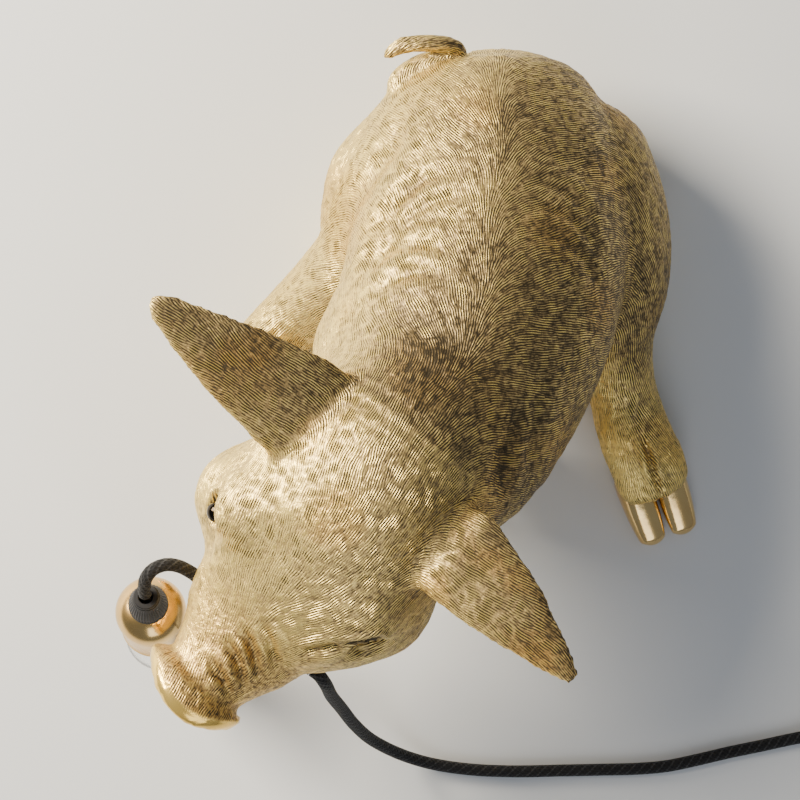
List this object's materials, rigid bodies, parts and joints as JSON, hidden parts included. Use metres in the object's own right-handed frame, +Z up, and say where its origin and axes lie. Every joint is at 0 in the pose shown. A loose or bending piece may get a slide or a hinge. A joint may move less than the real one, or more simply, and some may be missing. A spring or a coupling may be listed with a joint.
{
  "type": "figural animal lamp",
  "caption": "Sitting pig figure table lamp in antique gold; a bulb holder hangs from the cord held in its mouth.",
  "frame": {"origin": "at floor level under the middle of the box of the figure with its hanging holder, its cord left out", "axes": "+Z up, the pig's body faces -Y with its head turned towards -X"},
  "size_m": [0.5213, 0.3977, 0.2078],
  "materials": {
    "antique_gold": "satin",
    "dark_patina": "gloss",
    "polished_gold": "polished",
    "black_plastic": "satin",
    "felt": "matte",
    "textile_cord": "matte",
    "black_grip": "satin",
    "steel": "satin",
    "brass": "polished",
    "porcelain": "gloss",
    "nickel": "polished",
    "clear_glass": "gloss",
    "phosphor": "matte"
  },
  "bodies": {
    "pig": {"torso_casting": "antique_gold", "head_casting": "antique_gold", "ear_left": "antique_gold", "ear_right": "antique_gold", "tail": "antique_gold", "eye_left": "dark_patina", "eye_right": "dark_patina", "hoof_hind_left": "polished_gold", "hoof_hind_right": "polished_gold", "hoof_front_left": "polished_gold", "hoof_front_right": "polished_gold", "base_plug": "black_plastic", "felt_pads": "felt", "cord_mouth": "textile_cord", "cord_lead": "textile_cord", "switch_lower_shell": "black_plastic", "switch_upper_shell": "black_plastic", "switch_contacts": "brass", "switch_screws": "steel", "cord_run": "textile_cord", "cord_coil": "textile_cord", "cord_end": "textile_cord", "plug_relief": "black_plastic", "plug_body": "black_plastic", "plug_pins": "nickel", "plug_earth_clips": "nickel"},
    "pendant": {"cord_pendant": "textile_cord", "cord_grip": "black_grip", "cord_grip_screw": "steel", "threaded_nipple": "brass", "nipple_nut": "brass", "holder_dome": "brass", "holder_skirt": "brass", "socket_insulator": "porcelain", "socket_thread_shell": "brass", "centre_contact": "brass", "terminal_screws": "steel"},
    "bulb": {"bulb_glass": "clear_glass", "bulb_base_shell": "nickel", "bulb_insulator": "black_plastic", "bulb_tip_contact": "nickel", "bulb_stem": "clear_glass", "bulb_filaments": "phosphor"},
    "rocker": {"switch_rocker": "black_plastic"}
  },
  "joints": [
    {"name": "pendant_swing", "type": "hinge", "parent": "pig", "child": "pendant", "pos_m": [-0.105, -0.0982, 0.139], "axis": [-0.7781, 0.6281, 0], "range_deg": [-10, 18]},
    {"name": "bulb_turn", "type": "hinge", "parent": "pendant", "child": "bulb", "pos_m": [-0.1325, -0.1185, 0.102], "axis": [0.0284, 0.3243, 0.9455], "continuous": true},
    {"name": "rocker_tilt", "type": "hinge", "parent": "pig", "child": "rocker", "pos_m": [0.261, -0.188, 0.013], "axis": [-0.2079, 0.9781, 0], "range_deg": [-7, 7]}
  ]
}
